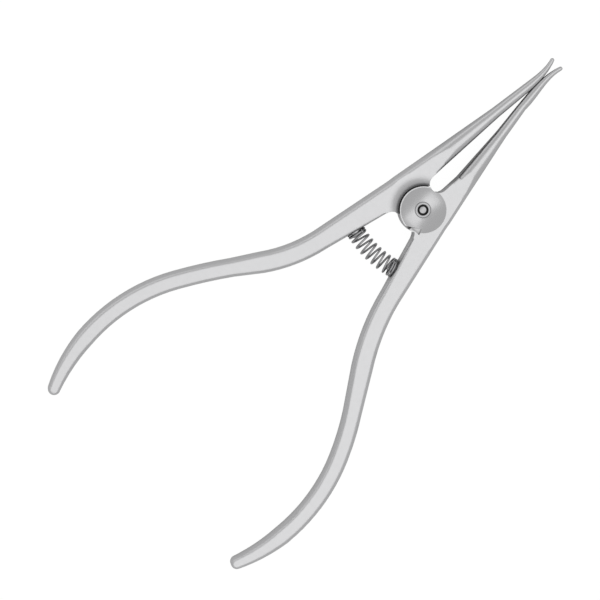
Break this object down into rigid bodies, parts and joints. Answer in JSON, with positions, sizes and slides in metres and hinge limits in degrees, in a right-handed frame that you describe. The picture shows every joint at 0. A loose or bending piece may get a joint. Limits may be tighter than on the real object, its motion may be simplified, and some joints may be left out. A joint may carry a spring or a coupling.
{
  "type": "ligature tying pliers",
  "caption": "Slim steel hand pliers with fine flared tips, a dished lap joint on a flush rivet, long curved handles and a small coil spring between them.",
  "frame": {"origin": "on the rivet's axis at the pliers' flat back", "axes": "+Y along the pliers from the handles to the tips, +Z out of the dished front along the rivet, +X to the right seen from the front"},
  "size_m": [0.0718, 0.1404, 0.0048],
  "materials": {
    "forged_steel": "satin",
    "rivet_steel": "turned",
    "spring_wire": "drawn wire"
  },
  "bodies": {
    "left_arm": {"left_member": "forged_steel", "pivot_rivet": "rivet_steel", "left_spring_stud": "rivet_steel", "return_spring": "spring_wire"},
    "right_arm": {"right_member": "forged_steel", "right_spring_stud": "rivet_steel"}
  },
  "joints": [
    {"name": "pivot", "type": "hinge", "parent": "left_arm", "child": "right_arm", "pos_m": [0, 0, 0], "axis": [0, 0, -1], "range_deg": [0, 20], "stiffness_Nm_per_rad": 0.33, "springref_deg": -7.45, "deforming": ["return_spring"]}
  ]
}
